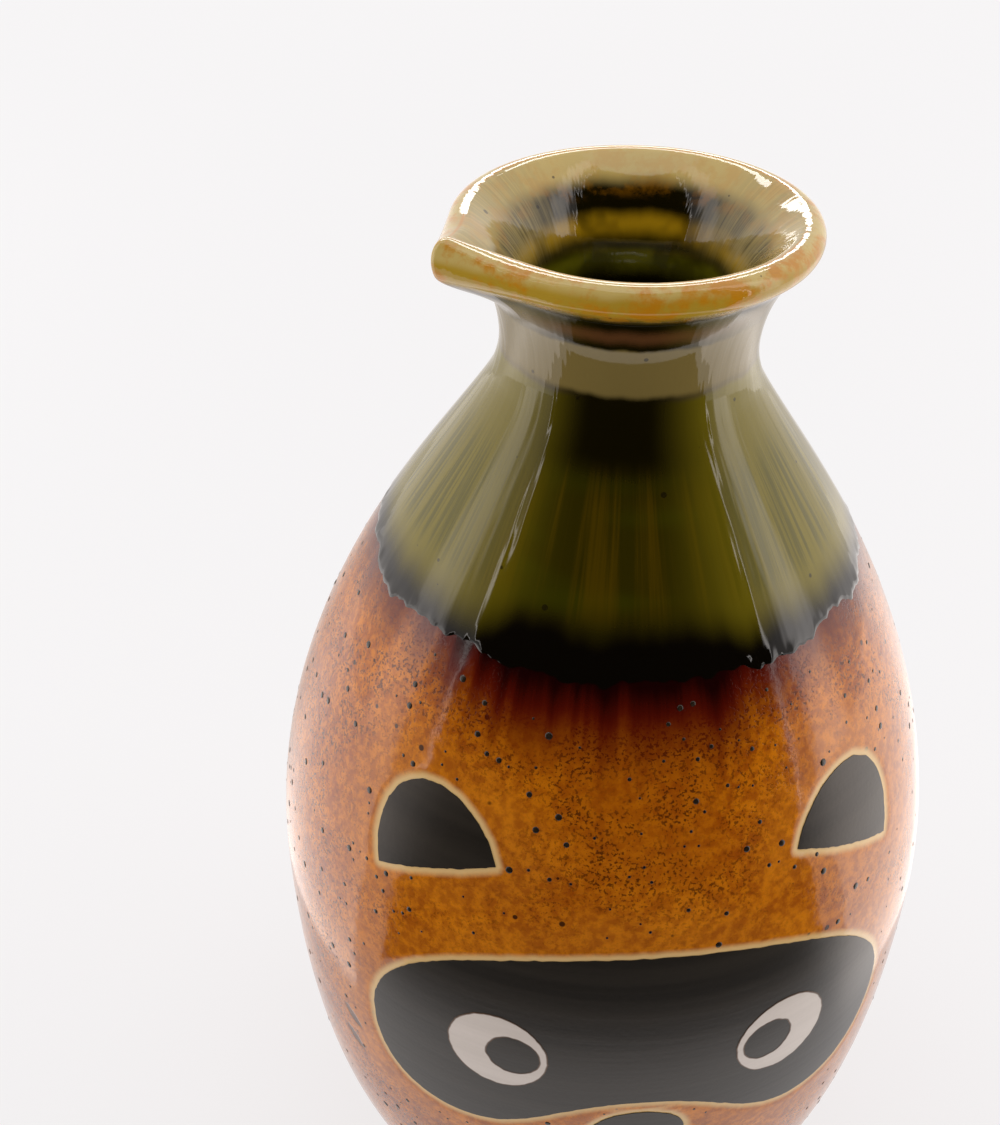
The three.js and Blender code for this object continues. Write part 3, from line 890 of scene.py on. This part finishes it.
# the patches that lie in the amber glaze, joined, for it to measure its distance from
patchGuide = bpy.data.meshes.new("patchGuide")
guideVertices, guideFaces = [], []
for mesh in guides:
    base = len(guideVertices)
    guideVertices += [vertex.co.copy() for vertex in mesh.vertices]
    guideFaces += [[base + i for i in polygon.vertices] for polygon in mesh.polygons]
patchGuide.from_pydata(guideVertices, [], guideFaces)
guideObject = bpy.data.objects.new("patchGuide", patchGuide)
bpy.context.scene.collection.objects.link(guideObject)


# The coats, each grown from its loop of stations

turnedCoat = turningTree()
overlap = {"below": 1.3, "stations": 16}  # how far the green hangs down, and the amber runs on under it
greenStart = stationAt(bottle["greenEdge"] - overlap["below"], False)
greenEnd = stationAt(bottle["throatGreenEdge"], True)
amberStart, amberEnd = stationAt(bottle["glazeStop"], False), greenStart + overlap["stations"]
greenEdge = ((0.0, -0.25), (0.35, 0.0), (0.8, 0.06), (1.6, 0.08), (5.0, 0.05), (16.0, 0.0))
coats = {
    "amberGlaze": {
        "stations": shellBetween(amberStart, amberEnd, bottle["coat"]),
        "inputs": {"Columns": 400, "Front Closeness": 0.35, "Patches": guideObject, "Patch Sink": 0.13 * mm,
                   "Throwing Rings": 0.05 * mm, "Material": materials["amber"]},
        "node": "amber_glaze", "slot": "amber_glaze"},
    "greenGlaze": {
        "stations": shellBetween(greenStart, greenEnd, bottle["coat"], edge=greenEdge),
        "inputs": {"Columns": 440, "Front Closeness": 0.2, "Edge Wave": 4.0 * mm, "Edge Scallop": 0.8 * mm,
                   "Edge Bead": 0.1 * mm, "Material": materials["green"]},
        "node": "green_glaze", "slot": "green_glaze"},
    "liningGlaze": {
        "stations": shellBetween(greenEnd + 1, len(skin) - 1, bottle["coat"]),
        "inputs": {"Columns": 128, "Material": materials["amber"]},
        "node": "lining_glaze", "slot": "lining_glaze"},
}
for name, coat in coats.items():
    stations = coat["stations"]
    profile = profileMesh(name + "Profile", stations)
    piece = grow(profile, turnedCoat, name, {"Stations": len(stations), **coat["inputs"]})
    if name == "amberGlaze":
        pitSurface = bpy.data.objects.new("pitSurface", piece.data.copy())
    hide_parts(coat["node"])
    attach(piece, "root")
    print(name, len(stations), "stations,", len(piece.data.polygons), "faces")

# pits and specks stand scattered in the amber glaze
pitSettings = {
    "Spacing": 1.2 * mm, "Density": 110000.0, "Seed": 11, "Smallest": 0.15 * mm, "Largest": 0.46 * mm,
    "Clear Of Patches": 1.2 * mm, "Material": materials["pit"],
}
pits = grow(pitSurface, scatterTree(), "ironPits", pitSettings)
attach(pits, "root")
print("iron pits:", len(pits.data.polygons), "faces")


def clayStations():
    # the bare foot ring, then the body's surface under the coats, up, over and down to the inside floor
    b = bottle
    ring = b["footRadius"] - b["footRingWidth"]
    foot = [(0, b["footRecess"]), (ring - b["footRecess"], b["footRecess"]), (ring, 0),
            (b["footRadius"] - b["footChamfer"], 0)]
    bare = [b["footChamfer"] + (b["glazeStop"] - 0.2 - b["footChamfer"]) * i / 4 for i in range(5)]
    foot += [(outerRadius(z) - b["bareStep"], z) for z in bare]
    line = parallel([station[:2] for station in skin], b["clayDepth"])
    start = stationAt(b["glazeStop"], False)
    under = [(max(r, 0.0), z, *skin[i][2:]) for i, (r, z) in enumerate(line) if i >= start]
    return [(r, z, 0, 0, 0) for r, z in foot] + under[:-2:4] + under[-1:]


stations = clayStations()
bodySettings = {"Stations": len(stations), "Columns": 160, "Material": materials["clay"]}
body = grow(profileMesh("clayProfile", stations), turnedCoat, "stonewareBody", bodySettings)
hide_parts("stoneware_body")
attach(body, "root")
bpy.data.objects.remove(guideObject)
print("clay body", len(stations), "stations")


# Floor, light and camera

def addStage(name, vertices, faces, material, cameraSees=True, diffuseSees=True, values=None):
    mesh = bpy.data.meshes.new(name)
    mesh.from_pydata(vertices, [], faces)
    for key, numbers in (values or {}).items():
        mesh.attributes.new(key, "FLOAT", "POINT").data.foreach_set("value", numbers)
    mesh.materials.append(material)
    piece = bpy.data.objects.new(name, mesh)
    bpy.context.scene.collection.objects.link(piece)
    piece.visible_camera = cameraSees
    piece.visible_diffuse = diffuseSees
    piece.visible_shadow = cameraSees
    return piece


def plainMaterial(name, color, strength=0.0):
    material = bpy.data.materials.new(name)
    material.use_nodes = True
    shader = material.node_tree.nodes["Principled BSDF"]
    shader.inputs["Base Color"].default_value = (*color, 1)
    shader.inputs["Roughness"].default_value = 1.0
    shader.inputs["Specular IOR Level"].default_value = 0.0
    shader.inputs["Emission Color"].default_value = (*color, 1)
    shader.inputs["Emission Strength"].default_value = strength
    return material


studio = {
    "world": 0.4, "worldSeen": 0.5, "worldColor": (1.0, 0.992, 0.996),
    "floorHalf": 1.6, "floorLevel": -0.0002, "floorColor": (0.18, 0.177, 0.178),
    "floorTint": (1.0, 0.985, 0.99), "floorGlow": 0.74, "farGlow": 0.83, "glowFrom": 0.15, "glowTo": 0.8,
    "tentColor": (1.0, 0.945, 0.915), "tentGain": 1.08, "tentStep": 0.4,
    "wallRadius": 0.45, "wallHeight": 0.5, "roofRadius": 0.17, "roofHeight": 0.64,
    "openingLeft": -69.0, "openingRight": 58.0, "openingFloor": 0.105, "floorSlices": 48,
    "sideFloor": 1.8, "rearFloor": 0.8, "sideFloorFrom": 0.075,
    "sideFloorRight": 67.0, "sideFloorLeft": 280.0,
    "panelDistance": 0.5, "panelWidth": 0.5, "panelHeight": 0.5, "panelFoot": 0.03,
    "panelLeft": -110.0, "panelRight": 95.0, "panelLeftRadiance": 2.0, "panelRightRadiance": 2.4,
    "topBehind": 0.1, "topHeight": 0.66, "topSize": 0.6, "topRadiance": 1.35,
    "rearLength": 0.5, "rearWidth": 0.08, "rearAim": 0.14,
}
# brightness round the light tent, by direction: the dark opening in front, its bright seams, two soft strips
tentGlow = (
    (-180.0, 1.2), (-104.0, 1.2), (-97.0, 2.2), (-86.0, 2.0), (-79.0, 0.5), (-70.0, 0.4),
    (-69.6, 4.0), (-69.0, 4.0), (-68.6, 0.0), (57.6, 0.0), (58.0, 4.0), (58.6, 4.0),
    (59.0, 0.4), (64.0, 0.5), (70.0, 2.4), (79.0, 2.6), (87.0, 1.2), (180.0, 1.2))


def addWorld():
    # a faint even light; seen directly it is brighter, so that the floor has no grey horizon
    world = bpy.data.worlds.new("softWorld")
    bpy.context.scene.world = world
    world.use_nodes = True
    tree = world.node_tree
    background = tree.nodes["Background"]
    background.inputs["Color"].default_value = (*studio["worldColor"], 1)
    seen = addNode(tree, "ShaderNodeLightPath").outputs["Is Camera Ray"]
    strength = plus(times(seen, studio["worldSeen"]), studio["world"])
    plug(strength, background.inputs["Strength"])


def addFloor():
    material = plainMaterial("paleFloor", studio["floorColor"], studio["floorGlow"])
    tree = material.node_tree
    shader = tree.nodes["Principled BSDF"]
    shader.inputs["Emission Color"].default_value = (*studio["floorTint"], 1)
    x, y, z = splitXyz(addNode(tree, "ShaderNodeTexCoord").outputs["Object"])
    glow = ease(lengthOf(x, y), studio["glowFrom"], studio["glowTo"], studio["floorGlow"],
                studio["farGlow"])
    plug(glow, shader.inputs["Emission Strength"])
    half, level = studio["floorHalf"], studio["floorLevel"]
    corners = [(-half, -half, level), (half, -half, level), (half, half, level), (-half, half, level)]
    addStage("floor", corners, [(0, 1, 2, 3)], material)


def compass(degrees, distance, level):
    turn = math.radians(degrees)
    return (distance * math.sin(turn), -distance * math.cos(turn), level)


def addTent():
    # for reflections only: a wall and a sloping roof all round, over a floor dark in the opening
    vertices, glow, faces = [], [], []
    rows = (("wallRadius", 0.0), ("wallRadius", studio["wallHeight"]), ("roofRadius", studio["roofHeight"]))
    count = round(360 / studio["tentStep"])
    for i in range(count + 1):
        turn = -180 + i * studio["tentStep"]
        for (t0, g0), (t1, g1) in zip(tentGlow, tentGlow[1:]):
            if t0 <= turn <= t1:
                value = g0 + (g1 - g0) * smoothShare(turn, t0, t1)
        for radius, level in rows:
            vertices.append(compass(turn, studio[radius], level))
            glow.append(value)
        if i:
            a = 3 * (i - 1)
            faces += [(a, a + 1, a + 4, a + 3), (a + 1, a + 2, a + 5, a + 4)]
    slices = studio["floorSlices"]
    opening = (studio["openingLeft"], studio["openingRight"], studio["openingFloor"])
    beside = (studio["sideFloorRight"], studio["sideFloorLeft"], studio["sideFloorFrom"])
    for start, end, near in (opening, beside):
        for i in range(slices + 1):
            turn = start + (end - start) * i / slices
            vertices += [compass(turn, near, 0.001), compass(turn, studio["wallRadius"], 0.001)]
            behind = smoothShare(-abs(turn - 180), -60, -35)
            value = studio["sideFloor"] + (studio["rearFloor"] - studio["sideFloor"]) * behind
            glow += [value if start > 0 else 0.0] * 2
            if i:
                a = len(vertices) - 4
                faces.append((a, a + 1, a + 3, a + 2))
    material = plainMaterial("tentWall", (0.0, 0.0, 0.0))
    tree = material.node_tree
    shader = tree.nodes["Principled BSDF"]
    shader.inputs["Emission Color"].default_value = (*studio["tentColor"], 1)
    strength = times(attribute(tree, "glow"), studio["tentGain"])
    plug(strength, shader.inputs["Emission Strength"])
    addStage("tentWall", vertices, faces, material, False, False, {"glow": glow})


def addLight(name, place, aim, width, height, radiance):
    data = bpy.data.lights.new(name, "AREA")
    data.shape = "RECTANGLE"
    data.size, data.size_y = width, height
    data.energy = radiance * math.pi * width * height
    light = bpy.data.objects.new(name, data)
    bpy.context.scene.collection.objects.link(light)
    light.location = place
    light.rotation_euler = (Vector(aim) - Vector(place)).to_track_quat("-Z", "Y").to_euler()
    light.visible_camera = False
    return light


addWorld()
addFloor()
addTent()
middle = studio["panelFoot"] + studio["panelHeight"] / 2
for side in ("Left", "Right"):
    spot = compass(studio["panel" + side], studio["panelDistance"], middle)
    panel = addLight("panel" + side, spot, (0, 0, middle), studio["panelWidth"], studio["panelHeight"],
                     studio["panel" + side + "Radiance"])
    panel.visible_glossy = False
behind, size = studio["topBehind"], studio["topSize"]
addLight("topPanel", (0, behind, studio["topHeight"]), (0, behind, 0), size, size, studio["topRadiance"])
for name, depth, level, radiance in (("rearPanelLow", 0.42, 0.34, 9.0), ("rearPanelHigh", 0.3, 0.53, 11.0)):
    panel = addLight(name, (0, depth, level), (0, 0, studio["rearAim"]), studio["rearLength"],
                     studio["rearWidth"], radiance)
    panel.visible_diffuse = False

view = {"place": (-0.02377, -0.13688, 0.20485), "down": 36.70, "heading": 4.33, "lens": 45.461}
cameraData = bpy.data.cameras.new("camera")
cameraData.sensor_fit = "VERTICAL"
cameraData.sensor_height = 36
cameraData.lens = view["lens"]
cameraData.clip_start = 0.005
camera = bpy.data.objects.new("camera", cameraData)
bpy.context.scene.collection.objects.link(camera)
camera.location = view["place"]
camera.rotation_euler = (math.radians(90 - view["down"]), 0, math.radians(-view["heading"]))
bpy.context.scene.camera = camera
bpy.context.scene.view_settings.view_transform = "Standard"
print("studio ready")
